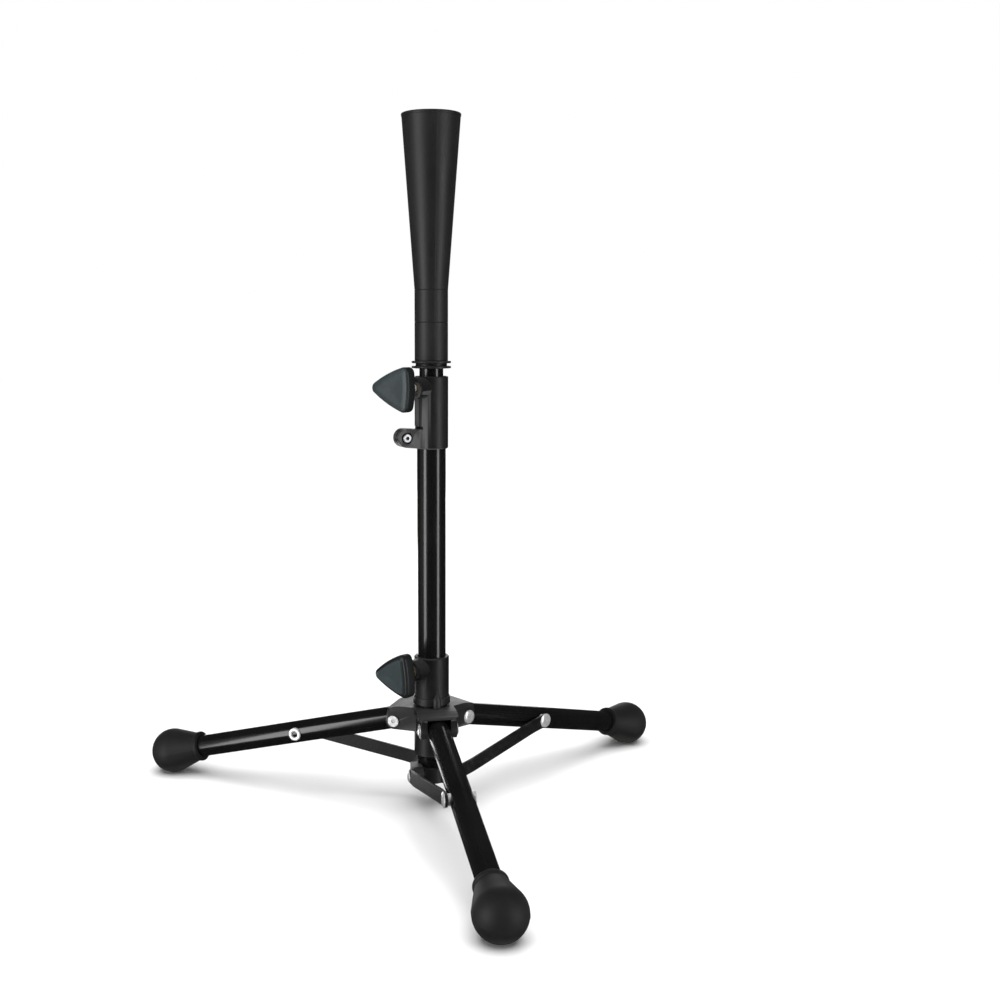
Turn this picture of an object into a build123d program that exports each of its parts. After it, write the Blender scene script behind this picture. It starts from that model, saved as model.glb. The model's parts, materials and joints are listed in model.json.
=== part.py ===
from build123d import *
import math
import os

os.makedirs("parts", exist_ok=True)

# Folding batting tee: a clamped telescopic post on a tripod of three tube legs and three flat struts.
# Frame: millimetres, +Z up, origin on the post's axis at the floor, front leg along -Y.

# ---------------------------------------------------------------- driving sizes
# clearances
fit_gap = 0.05            # between pieces that are pressed or clamped together
pin_gap = 0.05            # radial, round a pivot that turns
slide_gap = 0.25          # radial, between sleeves that slide
side_gap = 0.3            # between faces that pass each other
overcut = 1.0             # how far a cut or a merged root runs past its face

# outer post tube
outer_tube_od = 25.4
outer_tube_wall = 1.2
outer_tube_length = 327.5
end_plug_depth = 12.0
end_plug_flange = 1.5

# inner post tube
tube_annulus = 1.0        # radial space between the two tubes
inner_tube_wall = 1.2
inner_tube_length = 406.0
guide_plug_head = 10.0
guide_plug_spigot = 14.0

# upper clamp collar
collar_wall = 2.05
collar_grip = 25.0        # length of outer tube inside the collar
collar_height = 63.4
bush_inset = 0.35         # bush's outside from the outer tube's
collar_edge = 0.8
ear_azimuth = 77.0        # from the front leg towards the left leg
ear_screw_out = 10.7      # screw's axis from the collar's wall
ear_screw_rise = 9.9
ear_end_radius = 8.3
ear_thickness = 5.4
ear_slit = 1.8
ear_root = 4.0            # ear's root inside the collar's wall
relief_slot_rise = 17.3
relief_slot_height = 2.6
relief_slot_arc = 37.0    # to each side of the ear
ear_screw_d = 4.0
ear_screw_head_d = 7.4
ear_screw_head_h = 3.4
ear_recess_d = 10.2
ear_hex = 3.0
ear_hex_depth = 2.0
ear_screw_edge = 0.4
nut_across_flats = 7.0
nut_height = 3.0

# clamp knobs and the bosses they screw into
boss_d = 19.0
boss_out = 10.0           # boss's face from its sleeve's wall
boss_drop = 9.6           # boss's axis below its sleeve's top
boss_edge = 1.2
boss_taper = 40.0         # degrees, on the boss's rim
insert_od = 11.0
insert_length = 8.0
clamp_screw_d = 7.8
pad_d = 6.8
pad_length = 2.0
knob_apex_reach = 24.2    # axis to the knob's pointed end
knob_back_reach = 15.2    # axis to the other two corners, along the same line
knob_height = 38.4
knob_corner = 5.4
knob_bulge = 1.2          # rise of the middle of each side
knob_thickness = 11.0
knob_edge = 2.4
knob_neck_d = 15.0
knob_neck_length = 5.0
knob_screw_grip = 8.0
upper_knob_azimuth = 48.5
upper_knob_gap = 17.4     # boss's face to the knob's back
upper_knob_turn = -2.0
lower_knob_azimuth = 54.0
lower_knob_gap = 12.1
lower_knob_turn = 6.0

# rubber topper and the adapter that carries it
bare_tube_gap = 6.9       # inner tube that shows above the collar
topper_tube_length = 61.4
topper_cone_length = 148.4
topper_mouth_od = 51.8
topper_wall = 3.2
topper_lip = 1.1
adapter_spigot_wall = 0.85
adapter_flange_out = 2.65  # flange's edge beyond the topper's tube
adapter_flange_height = 6.3
adapter_disc = 1.9
adapter_groove_wall = 3.2
adapter_spigot_length = 53.4

# tripod legs
leg_tube_od = 20.5
leg_tube_wall = 1.2
leg_pivot_reach = 30.9
leg_pivot_z = 80.1
leg_length = 245.3        # pivot to the centre of the foot's ball
leg_stub = 6.0
leg_insert_length = 22.0
leg_bearings = (0.0, 120.0, 240.0)
leg_names = ("front", "left", "right")

# rubber feet
foot_ball_r = 21.2
foot_flattening = 0.4     # height of ball that the floor takes away
foot_neck_wall = 2.85
foot_neck_back = 33.0     # neck's open end to the ball's centre
foot_lip = 1.0
foot_lip_length = 3.0
leg_tube_short = 4.0      # tube's end to the ball's centre

# hub
hub_plate_rise = 14.9     # plate's top above the leg pivots
hub_plate_drop = 3.6      # fall of the plate's top towards its end
hub_plate_crown = 0.35    # share of that fall at the middle of the slope
hub_plate_flat_reach = 24.0
hub_plate_past = 6.7      # plate's end beyond the leg pivots
hub_plate_overhang = 1.8  # beyond the cheeks
hub_plate_skirt = 5.6
hub_plate_corner = 5.0
hub_plate_throat = 9.0    # radius between two arms
hub_core_wall = 4.05
hub_sleeve_wall = 2.85
hub_sleeve_drop = 30.5    # sleeve's lower end below the leg pivots
cheek_wall = 5.65
cheek_end_r = 7.6
stub_sweep_gap = 0.5
neck_wall = 2.75
neck_gap = 2.0            # groove between the plate and the neck
neck_height = 43.0
neck_flange_out = 1.2
neck_flange_height = 6.0
neck_flange_taper = 4.0    # degrees
neck_recess_wall = 1.45
neck_recess_depth = 4.0
latch_azimuth = -7.0
latch_r = 3.9
latch_height = 7.5         # of its straight part and of its tapered top, each
latch_taper = 24.0         # degrees

# struts
strut_width = 12.6
strut_thickness = 2.4
strut_inner_reach = 14.0
strut_inner_z = 32.5
strut_outer_along = 104.9  # leg pivot to strut rivet, along the leg
strut_inner_side = 21.4    # middle of the flat from the leg's plane, at the post
strut_bend_in = 18.0       # inner pivot to the first bend
strut_bend_out = 16.0      # second bend to the outer pivot
spacer_length = 2.0
spacer_d = 10.0

# lower strut collar
lower_collar_wall = 2.45
lower_collar_below = 8.5   # strut pivots to the collar's lower face
lower_collar_above = 6.0   # strut pivots to its upper face
lug_r = 8.6
lug_length = 9.1
fixing_screw_d = 4.2

# rivets
rivet_shank_d = 6.0
pivot_head_d = 12.6
pivot_tail_d = 10.4
pivot_tail_dimple = 3.1
strut_head_d = 13.6
strut_tail_d = 12.0
strut_tail_hole_d = 4.4
strut_tail_hole_depth = 4.5
collar_head_d = 11.0
rivet_head_h = 1.6
rivet_tail_h = 1.5


# ---------------------------------------------------------------- values worked out from the sizes
outer_r = outer_tube_od / 2
outer_bore_r = outer_r - outer_tube_wall
inner_r = outer_bore_r - tube_annulus
inner_bore_r = inner_r - inner_tube_wall
collar_r = outer_r + fit_gap + collar_wall
leg_r = leg_tube_od / 2
leg_bore_r = leg_r - leg_tube_wall
shank_r = rivet_shank_d / 2
bush_bore_r = inner_r + slide_gap
bush_r = outer_r - bush_inset
spigot_r = inner_r + fit_gap + adapter_spigot_wall
topper_tube_r = spigot_r + topper_wall
clamp_screw_r = clamp_screw_d / 2
pad_r = pad_d / 2

# heights, from the lower collar up the post
lower_collar_bottom = strut_inner_z - lower_collar_below
lower_collar_top = strut_inner_z + lower_collar_above
lower_collar_r = outer_r + fit_gap + lower_collar_wall
outer_tube_bottom = lower_collar_bottom + end_plug_flange
outer_tube_top = outer_tube_bottom + outer_tube_length
collar_bottom = outer_tube_top - collar_grip
collar_top = collar_bottom + collar_height
ear_screw_z = collar_bottom + ear_screw_rise
ear_screw_reach = collar_r + ear_screw_out
relief_slot_z = collar_bottom + relief_slot_rise
adapter_bottom = collar_top + bare_tube_gap
topper_bottom = adapter_bottom + adapter_flange_height + fit_gap
topper_cone_bottom = topper_bottom + topper_tube_length
topper_top = topper_cone_bottom + topper_cone_length
adapter_spigot_top = topper_bottom + adapter_spigot_length
inner_tube_top = adapter_spigot_top
inner_tube_bottom = inner_tube_top - inner_tube_length

# heights and radii of the hub
hub_bore_r = outer_r + slide_gap
hub_plate_z = leg_pivot_z + hub_plate_rise
hub_plate_end = leg_pivot_reach + hub_plate_past
hub_core_r = hub_bore_r + hub_core_wall
hub_sleeve_r = hub_bore_r + hub_sleeve_wall
hub_sleeve_bottom = leg_pivot_z - hub_sleeve_drop
cheek_half = leg_r + side_gap + cheek_wall
hub_plate_half = cheek_half + hub_plate_overhang
stub_sweep_r = math.hypot(leg_stub, leg_r) + stub_sweep_gap
neck_bottom = hub_plate_z + neck_gap
neck_top = neck_bottom + neck_height
neck_r = hub_bore_r + neck_wall
neck_flange_r = neck_r + neck_flange_out
neck_recess_r = hub_bore_r + neck_recess_wall

# the leg's slope puts its ball on the floor; the strut runs from its lug to its rivet on the leg
foot_neck_r = leg_r + foot_neck_wall
leg_slope = math.degrees(math.asin((leg_pivot_z - foot_ball_r + foot_flattening) / leg_length))
strut_inner_face = leg_r + spacer_length
strut_outer_side = strut_inner_face + strut_thickness / 2
strut_run = leg_pivot_reach + strut_outer_along * math.cos(math.radians(leg_slope)) - strut_inner_reach
strut_rise = leg_pivot_z - strut_outer_along * math.sin(math.radians(leg_slope)) - strut_inner_z
strut_length = math.hypot(strut_run, strut_rise)
strut_angle = math.degrees(math.atan2(strut_rise, strut_run))
lug_face = strut_inner_side - strut_thickness / 2 - side_gap
lug_back = lug_face - lug_length


# ---------------------------------------------------------------- helpers
def outward(azimuth):
    """Unit direction at an angle from the front leg towards the left leg."""
    turn = math.radians(azimuth)
    return Vector(-math.sin(turn), -math.cos(turn), 0)


def side_plane(azimuth, side=0.0, reach=0.0, height=0.0):
    """Upright plane of one leg: x is outward, y is up, z is the leg's clockwise side."""
    ahead = outward(azimuth)
    across = ahead.cross(Vector(0, 0, 1))
    origin = across * side + ahead * reach + Vector(0, 0, height)
    return Plane(origin=origin, x_dir=ahead, z_dir=across)


def facing_plane(azimuth, reach, height):
    """Upright plane across a direction: x is to the side, y is up, z is outward."""
    ahead = outward(azimuth)
    up = Vector(0, 0, 1)
    return Plane(origin=ahead * reach + up * height, x_dir=up.cross(ahead), z_dir=ahead)


def tilted(upright, degrees):
    """The same plane with its x direction raised by an angle within the plane."""
    rise = math.radians(degrees)
    ahead = upright.x_dir * math.cos(rise) + upright.y_dir * math.sin(rise)
    return Plane(origin=upright.origin, x_dir=ahead, z_dir=upright.z_dir)


def leg_plane(azimuth, side=0.0):
    """Plane of one leg tilted with it: x runs down the leg from its pivot, z is the clockwise side."""
    return tilted(side_plane(azimuth, side, leg_pivot_reach, leg_pivot_z), -leg_slope)


def save(piece, name):
    piece.part.label = name
    export_step(piece.part, f"parts/{name}.step")


def dome(plane, base_d, height):
    """Low rivet head standing on a plane, inside the current part."""
    base_r = base_d / 2
    top_r = 0.45 * base_r
    shoulder = (0.74 * base_r, 0.8 * height)
    rim = 0.35 * height
    with BuildSketch(Plane(origin=plane.origin, x_dir=plane.x_dir, z_dir=-plane.y_dir)) as outline:
        with BuildLine():
            foot = Line((0, 0), (base_r, 0))
            wall = Line(foot @ 1, (base_r, rim))
            crown = ThreePointArc(wall @ 1, shoulder, (top_r, height))
            Polyline(crown @ 1, (0, height), (0, 0))
        make_face()
    revolve(outline.sketch, axis=Axis(plane.origin, plane.z_dir))


# ---------------------------------------------------------------- post
with BuildPart() as outer_tube:
    with BuildSketch(Plane.XY.offset(outer_tube_bottom)):
        Circle(outer_r)
        Circle(outer_bore_r, mode=Mode.SUBTRACT)
    extrude(amount=outer_tube_top - outer_tube_bottom)
save(outer_tube, "outer_tube")

with BuildPart() as outer_tube_end_plug:
    plug_r = outer_bore_r - fit_gap
    with BuildSketch(Plane.XY.offset(outer_tube_bottom)):
        Circle(plug_r)
    extrude(amount=end_plug_depth)
    with BuildSketch(Plane.XY.offset(outer_tube_bottom - end_plug_flange)):
        Circle(outer_r - fit_gap)
    extrude(amount=end_plug_flange)
    with BuildSketch(Plane.XY.offset(outer_tube_bottom + end_plug_flange)):
        Circle(plug_r - 2 * outer_tube_wall)
    extrude(amount=end_plug_depth, mode=Mode.SUBTRACT)
    chamfer(outer_tube_end_plug.edges().group_by(Axis.Z)[0], 0.5 * end_plug_flange)
save(outer_tube_end_plug, "outer_tube_end_plug")

with BuildPart() as inner_tube:
    with BuildSketch(Plane.XY.offset(inner_tube_bottom)):
        Circle(inner_r)
        Circle(inner_bore_r, mode=Mode.SUBTRACT)
    extrude(amount=inner_tube_top - inner_tube_bottom)
save(inner_tube, "inner_tube")

with BuildPart() as inner_guide_plug:
    with BuildSketch(Plane.XY.offset(inner_tube_bottom - guide_plug_head)):
        Circle(outer_bore_r - slide_gap)
    extrude(amount=guide_plug_head)
    chamfer(inner_guide_plug.edges(), collar_edge)
    with BuildSketch(Plane.XY.offset(inner_tube_bottom)):
        Circle(inner_bore_r - fit_gap)
    extrude(amount=guide_plug_spigot)
save(inner_guide_plug, "inner_guide_plug")


# ---------------------------------------------------------------- upper clamp collar
def clamp_boss(azimuth, height, sleeve_r):
    """Round boss that stands out of a sleeve for a clamp knob, inside the current part."""
    boss_face = sleeve_r + boss_out
    with BuildSketch(facing_plane(azimuth, sleeve_r / 2, height)) as barrel:
        Circle(boss_d / 2)
    extrude(barrel.sketch, amount=boss_face - boss_edge - sleeve_r / 2)
    with BuildSketch(facing_plane(azimuth, boss_face - boss_edge, height)) as rim:
        Circle(boss_d / 2)
    extrude(rim.sketch, amount=boss_edge, taper=boss_taper)


def clamp_boss_bore(azimuth, height, sleeve_r, bore_r):
    """Stepped bore for the threaded insert, the screw's end and the pressure pad."""
    insert_seat = sleeve_r + boss_out - insert_length
    with BuildSketch(facing_plane(azimuth, insert_seat, height)) as insert_bore:
        Circle(insert_od / 2 + fit_gap)
    extrude(insert_bore.sketch, amount=insert_length + boss_edge, mode=Mode.SUBTRACT)
    with BuildSketch(facing_plane(azimuth, bore_r - overcut, height)) as screw_bore:
        Circle(clamp_screw_r + side_gap)
    extrude(screw_bore.sketch, amount=insert_seat, mode=Mode.SUBTRACT)


def split_ear(azimuth):
    """Outline of the clamp ear in its upright plane, with a rounded end."""
    with BuildSketch(side_plane(azimuth, -ear_thickness - ear_slit / 2)) as outline:
        with BuildLine():
            low = Line((collar_r - ear_root, collar_bottom), (ear_screw_reach, ear_screw_z - ear_end_radius))
            end = ThreePointArc(
                low @ 1,
                (ear_screw_reach + ear_end_radius, ear_screw_z),
                (ear_screw_reach, ear_screw_z + ear_end_radius),
            )
            Polyline(end @ 1, (collar_r - ear_root, relief_slot_z), low @ 0)
        make_face()
    extrude(outline.sketch, amount=2 * ear_thickness + ear_slit)


with BuildPart() as upper_clamp_collar:
    with BuildSketch(Plane.XY.offset(collar_bottom)):
        Circle(collar_r)
    extrude(amount=collar_top - collar_bottom)
    chamfer(upper_clamp_collar.edges(), collar_edge)
    clamp_boss(upper_knob_azimuth, collar_top - boss_drop, collar_r)
    split_ear(ear_azimuth)
    with BuildSketch(Plane.XY.offset(collar_bottom)):
        Circle(outer_r + fit_gap)
    extrude(amount=outer_tube_top - collar_bottom, mode=Mode.SUBTRACT)
    with BuildSketch(Plane.XY.offset(outer_tube_top)):
        Circle(bush_r + fit_gap)
    extrude(amount=collar_top - outer_tube_top, mode=Mode.SUBTRACT)
    clamp_boss_bore(upper_knob_azimuth, collar_top - boss_drop, collar_r, bush_r)
    with BuildSketch(side_plane(ear_azimuth, -ear_slit / 2)):
        with Locations((ear_screw_reach, (collar_bottom + relief_slot_z) / 2)):
            Rectangle(2 * (ear_screw_reach - outer_r + overcut), relief_slot_z - collar_bottom)
    extrude(amount=ear_slit, mode=Mode.SUBTRACT)
    with BuildSketch(Plane.XY.offset(relief_slot_z)):
        with BuildLine():
            slot_reach = collar_r / math.cos(math.radians(relief_slot_arc)) + overcut
            slot_ends = [outward(ear_azimuth + relief_slot_arc * side) * slot_reach for side in (-1, 1)]
            Polyline((0, 0), (slot_ends[0].X, slot_ends[0].Y), (slot_ends[1].X, slot_ends[1].Y), (0, 0))
        make_face()
    extrude(amount=relief_slot_height, mode=Mode.SUBTRACT)
    ear_face = ear_thickness + ear_slit / 2
    with BuildSketch(side_plane(ear_azimuth, -ear_face, ear_screw_reach, ear_screw_z)):
        Circle(ear_screw_d / 2 + pin_gap)
    extrude(amount=2 * ear_face, mode=Mode.SUBTRACT)
    with BuildSketch(side_plane(ear_azimuth, -ear_face, ear_screw_reach, ear_screw_z)):
        Circle(ear_recess_d / 2)
    extrude(amount=ear_thickness / 2, mode=Mode.SUBTRACT)
    with BuildSketch(side_plane(ear_azimuth, ear_face - nut_height, ear_screw_reach, ear_screw_z)):
        RegularPolygon(nut_across_flats / 2 + fit_gap, 6, major_radius=False)
    extrude(amount=nut_height, mode=Mode.SUBTRACT)
save(upper_clamp_collar, "upper_clamp_collar")

with BuildPart() as tube_guide_bush:
    with BuildSketch(Plane.XY.offset(outer_tube_top + fit_gap)):
        Circle(bush_r)
        Circle(bush_bore_r, mode=Mode.SUBTRACT)
    extrude(amount=collar_top - outer_tube_top - collar_edge)
    with BuildSketch(facing_plane(upper_knob_azimuth, 0, collar_top - boss_drop)):
        Circle(clamp_screw_r + side_gap)
    extrude(amount=collar_r, mode=Mode.SUBTRACT)
save(tube_guide_bush, "tube_guide_bush")

with BuildPart() as ear_clamp_screw:
    head_seat = ear_thickness / 2 + ear_slit / 2
    head_plane = side_plane(ear_azimuth, -head_seat - ear_screw_head_h, ear_screw_reach, ear_screw_z)
    with BuildSketch(head_plane):
        Circle(ear_screw_head_d / 2)
    extrude(amount=ear_screw_head_h)
    chamfer(ear_clamp_screw.edges(), ear_screw_edge)
    with BuildSketch(side_plane(ear_azimuth, -head_seat, ear_screw_reach, ear_screw_z)):
        Circle(ear_screw_d / 2)
    extrude(amount=head_seat + ear_face)
    with BuildSketch(head_plane):
        RegularPolygon(ear_hex / 2, 6, major_radius=False)
    extrude(amount=ear_hex_depth, mode=Mode.SUBTRACT)
save(ear_clamp_screw, "ear_clamp_screw")

with BuildPart() as ear_clamp_nut:
    with BuildSketch(side_plane(ear_azimuth, ear_face - nut_height, ear_screw_reach, ear_screw_z)):
        RegularPolygon(nut_across_flats / 2, 6, major_radius=False)
        Circle(ear_screw_d / 2 + fit_gap, mode=Mode.SUBTRACT)
    extrude(amount=nut_height)
save(ear_clamp_nut, "ear_clamp_nut")


# ---------------------------------------------------------------- threaded inserts, pads and knobs
def make_clamp(prefix, azimuth, height, sleeve_r, knob_gap, turn, gripped_r):
    """Insert and pressure pad in the boss, then the knob and the screw that turn in them."""
    boss_face = sleeve_r + boss_out
    knob_back = boss_face + knob_gap
    pad_out = gripped_r + fit_gap + pad_length
    screw_tip = pad_out + side_gap

    with BuildPart() as thread_insert:
        with BuildSketch(facing_plane(azimuth, boss_face - insert_length, height)):
            Circle(insert_od / 2)
            Circle(clamp_screw_r + pin_gap, mode=Mode.SUBTRACT)
        extrude(amount=insert_length)
    save(thread_insert, f"{prefix}_thread_insert")

    with BuildPart() as pressure_pad:
        with BuildSketch(facing_plane(azimuth, gripped_r - pad_length, height)):
            Circle(pad_r)
        extrude(amount=2 * pad_length + fit_gap)
        with BuildSketch(Plane.XY.offset(height - boss_d)):
            Circle(gripped_r + fit_gap)
        extrude(amount=2 * boss_d, mode=Mode.SUBTRACT)
    save(pressure_pad, f"{prefix}_pressure_pad")

    with BuildPart() as knob_screw:
        with BuildSketch(facing_plane(azimuth, screw_tip, height)):
            Circle(clamp_screw_r)
        extrude(amount=knob_back + knob_screw_grip - screw_tip)
    save(knob_screw, f"{prefix}_knob_screw")

    with BuildPart() as knob_head:
        apex = (knob_corner - knob_apex_reach, 0)
        low = (knob_back_reach - knob_corner, knob_corner - knob_height / 2)
        high = (knob_back_reach - knob_corner, knob_height / 2 - knob_corner)
        with BuildSketch(facing_plane(azimuth, knob_back, height).rotated((0, 0, turn))):
            with BuildLine():
                for start, end in ((apex, low), (low, high), (high, apex)):
                    SagittaArc(start, end, -knob_bulge)
            make_face()
            offset(amount=knob_corner, kind=Kind.ARC)
        extrude(amount=knob_thickness)
        knob_faces = knob_head.faces().sort_by(Axis(knob_head.part.center(), outward(azimuth)))
        fillet(knob_faces[-1].edges(), knob_edge)
        knob_faces = knob_head.faces().sort_by(Axis(knob_head.part.center(), outward(azimuth)))
        chamfer(knob_faces[0].edges(), knob_edge / 2)
        with BuildSketch(facing_plane(azimuth, knob_back - knob_neck_length, height)):
            Circle(knob_neck_d / 2)
        extrude(amount=knob_neck_length)
        with BuildSketch(facing_plane(azimuth, knob_back - knob_neck_length, height)):
            Circle(clamp_screw_r + fit_gap)
        extrude(amount=knob_neck_length + knob_screw_grip + fit_gap, mode=Mode.SUBTRACT)
    save(knob_head, f"{prefix}_knob_head")


make_clamp(
    "upper", upper_knob_azimuth, collar_top - boss_drop, collar_r, upper_knob_gap, upper_knob_turn, inner_r
)
make_clamp(
    "lower", lower_knob_azimuth, neck_top - boss_drop, neck_r, lower_knob_gap, lower_knob_turn, outer_r
)


# ---------------------------------------------------------------- topper
adapter_top = adapter_bottom + adapter_flange_height

with BuildPart() as topper_adapter:
    with BuildSketch(Plane.XZ):
        with BuildLine():
            lower_disc = adapter_bottom + adapter_disc
            upper_disc = adapter_top - adapter_disc
            bore = inner_r + fit_gap
            flange = topper_tube_r + adapter_flange_out
            groove = bore + adapter_groove_wall
            Polyline(
                (bore, adapter_bottom),
                (flange, adapter_bottom),
                (flange, lower_disc),
                (groove, lower_disc),
                (groove, upper_disc),
                (flange, upper_disc),
                (flange, adapter_top),
                (spigot_r, adapter_top),
                (spigot_r, adapter_spigot_top),
                (bore, adapter_spigot_top),
                (bore, adapter_bottom),
            )
        make_face()
    revolve(axis=Axis.Z)
save(topper_adapter, "topper_adapter")

with BuildPart() as rubber_topper:
    mouth_r = topper_mouth_od / 2
    socket_r = spigot_r + fit_gap
    floor_z = inner_tube_top + fit_gap
    cup_floor_z = topper_cone_bottom + topper_wall
    with BuildSketch(Plane.XZ):
        with BuildLine():
            outside = Polyline(
                (0, topper_bottom),
                (topper_tube_r, topper_bottom),
                (topper_tube_r, topper_cone_bottom),
                (mouth_r, topper_top - topper_lip),
            )
            lip = ThreePointArc(
                outside @ 1,
                (mouth_r - topper_wall / 2, topper_top),
                (mouth_r - topper_wall, topper_top - topper_lip),
            )
            cup_floor_r = topper_tube_r - topper_wall
            Polyline(lip @ 1, (cup_floor_r, cup_floor_z), (0, cup_floor_z), (0, topper_bottom))
        make_face()
    revolve(axis=Axis.Z)
    with BuildSketch(Plane.XY.offset(topper_bottom)):
        Circle(socket_r)
    extrude(amount=floor_z - topper_bottom, mode=Mode.SUBTRACT)
save(rubber_topper, "rubber_topper")


# ---------------------------------------------------------------- hub
with BuildPart() as hub_lock_collar:
    with BuildSketch(Plane.XY.offset(neck_bottom)):
        Circle(neck_r)
    extrude(amount=neck_top - neck_bottom)
    chamfer(hub_lock_collar.edges().group_by(Axis.Z)[-1], collar_edge)
    with BuildSketch(Plane.XY.offset(neck_bottom)):
        Circle(neck_flange_r)
    extrude(amount=neck_flange_height, taper=neck_flange_taper)
    clamp_boss(lower_knob_azimuth, neck_top - boss_drop, neck_r)
    latch_place = outward(latch_azimuth) * (neck_flange_r - latch_r / 3)
    for step, taper in enumerate((0, latch_taper)):
        with BuildSketch(Plane.XY.offset(hub_plate_z + side_gap + step * latch_height)):
            with Locations((latch_place.X, latch_place.Y)):
                Circle(latch_r)
        extrude(amount=latch_height, taper=taper)
    with BuildSketch(Plane.XY.offset(hub_plate_z)):
        Circle(hub_bore_r)
    extrude(amount=neck_top - hub_plate_z, mode=Mode.SUBTRACT)
    with BuildSketch(Plane.XY.offset(hub_plate_z)):
        Circle(neck_recess_r + fit_gap)
    extrude(amount=neck_bottom + neck_recess_depth - hub_plate_z, mode=Mode.SUBTRACT)
    clamp_boss_bore(lower_knob_azimuth, neck_top - boss_drop, neck_r, hub_bore_r)
save(hub_lock_collar, "hub_lock_collar")

with BuildPart() as hub_spider:
    plate_low = hub_plate_z - hub_plate_skirt
    for bearing in leg_bearings:
        with BuildSketch(side_plane(bearing, -hub_plate_half)) as plate_side:
            with BuildLine():
                top = Line((0, hub_plate_z), (hub_plate_flat_reach, hub_plate_z))
                fall = ThreePointArc(
                    top @ 1,
                    (
                        (hub_plate_flat_reach + hub_plate_end) / 2,
                        hub_plate_z - hub_plate_crown * hub_plate_drop,
                    ),
                    (hub_plate_end, hub_plate_z - hub_plate_drop),
                )
                Polyline(fall @ 1, (hub_plate_end, plate_low), (0, plate_low), (0, hub_plate_z))
            make_face()
        extrude(amount=2 * hub_plate_half)
    with BuildSketch(Plane.XY.offset(plate_low)) as plate_plan:
        for bearing in leg_bearings:
            ahead = outward(bearing)
            middle = ahead * (hub_plate_end / 2)
            with Locations(Location((middle.X, middle.Y), -90 - bearing)):
                Rectangle(hub_plate_end, 2 * hub_plate_half)
        fillet(plate_plan.vertices().group_by(SortBy.DISTANCE)[-1], hub_plate_corner)
        fillet(plate_plan.vertices().group_by(SortBy.DISTANCE)[0], hub_plate_throat)
    extrude(amount=2 * hub_plate_skirt, mode=Mode.INTERSECT)
    for bearing in leg_bearings:
        with BuildSketch(side_plane(bearing, -cheek_half)):
            with BuildLine():
                under = Line((0, leg_pivot_z - cheek_end_r), (leg_pivot_reach, leg_pivot_z - cheek_end_r))
                end = ThreePointArc(
                    under @ 1,
                    (
                        leg_pivot_reach + cheek_end_r * math.sin(math.radians(45)),
                        leg_pivot_z - cheek_end_r * math.cos(math.radians(45)),
                    ),
                    (leg_pivot_reach + cheek_end_r, leg_pivot_z),
                )
                root_z = plate_low + overcut
                Polyline(end @ 1, (hub_plate_end - overcut, root_z), (0, root_z), under @ 0)
            make_face()
        extrude(amount=2 * cheek_half)
    with BuildSketch(Plane.XY.offset(hub_sleeve_bottom)):
        Circle(hub_sleeve_r)
    extrude(amount=leg_pivot_z - hub_sleeve_bottom)
    with BuildSketch(Plane.XY.offset(leg_pivot_z - cheek_end_r)):
        Circle(hub_core_r)
    extrude(amount=plate_low - leg_pivot_z + cheek_end_r)
    with BuildSketch(Plane.XY.offset(hub_plate_z - overcut)):
        Circle(neck_recess_r)
    extrude(amount=neck_bottom + neck_recess_depth - fit_gap - hub_plate_z + overcut)
    for bearing in leg_bearings:
        with BuildSketch(side_plane(bearing, -leg_r - side_gap)):
            with Locations((leg_pivot_reach, leg_pivot_z)):
                Circle(stub_sweep_r)
            with Locations((leg_pivot_reach, leg_pivot_z - stub_sweep_r)):
                Rectangle(2 * stub_sweep_r, 2 * stub_sweep_r)
            with Locations((leg_pivot_reach + stub_sweep_r, leg_pivot_z - stub_sweep_r)):
                Rectangle(2 * stub_sweep_r, 2 * stub_sweep_r + 2 * (leg_r - overcut))
        extrude(amount=2 * (leg_r + side_gap), mode=Mode.SUBTRACT)
        with BuildSketch(side_plane(bearing, -cheek_half, leg_pivot_reach, leg_pivot_z)):
            Circle(shank_r + fit_gap)
        extrude(amount=2 * cheek_half, mode=Mode.SUBTRACT)
    with BuildSketch(Plane.XY.offset(hub_sleeve_bottom)):
        Circle(hub_bore_r)
    extrude(amount=neck_top - hub_sleeve_bottom, mode=Mode.SUBTRACT)
save(hub_spider, "hub_spider")

with BuildPart() as leg_pivot_rivets:
    for bearing in leg_bearings:
        with BuildSketch(side_plane(bearing, -cheek_half, leg_pivot_reach, leg_pivot_z)):
            Circle(shank_r)
        extrude(amount=2 * cheek_half)
        dome(side_plane(bearing, cheek_half, leg_pivot_reach, leg_pivot_z), pivot_head_d, rivet_head_h)
        tail_plane = side_plane(bearing, -cheek_half - rivet_tail_h, leg_pivot_reach, leg_pivot_z)
        with BuildSketch(tail_plane):
            Circle(pivot_tail_d / 2)
        extrude(amount=rivet_tail_h)
        with BuildSketch(tail_plane):
            Circle(pivot_tail_dimple / 2)
        extrude(amount=rivet_tail_h / 2, mode=Mode.SUBTRACT)
save(leg_pivot_rivets, "leg_pivot_rivets")


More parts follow.
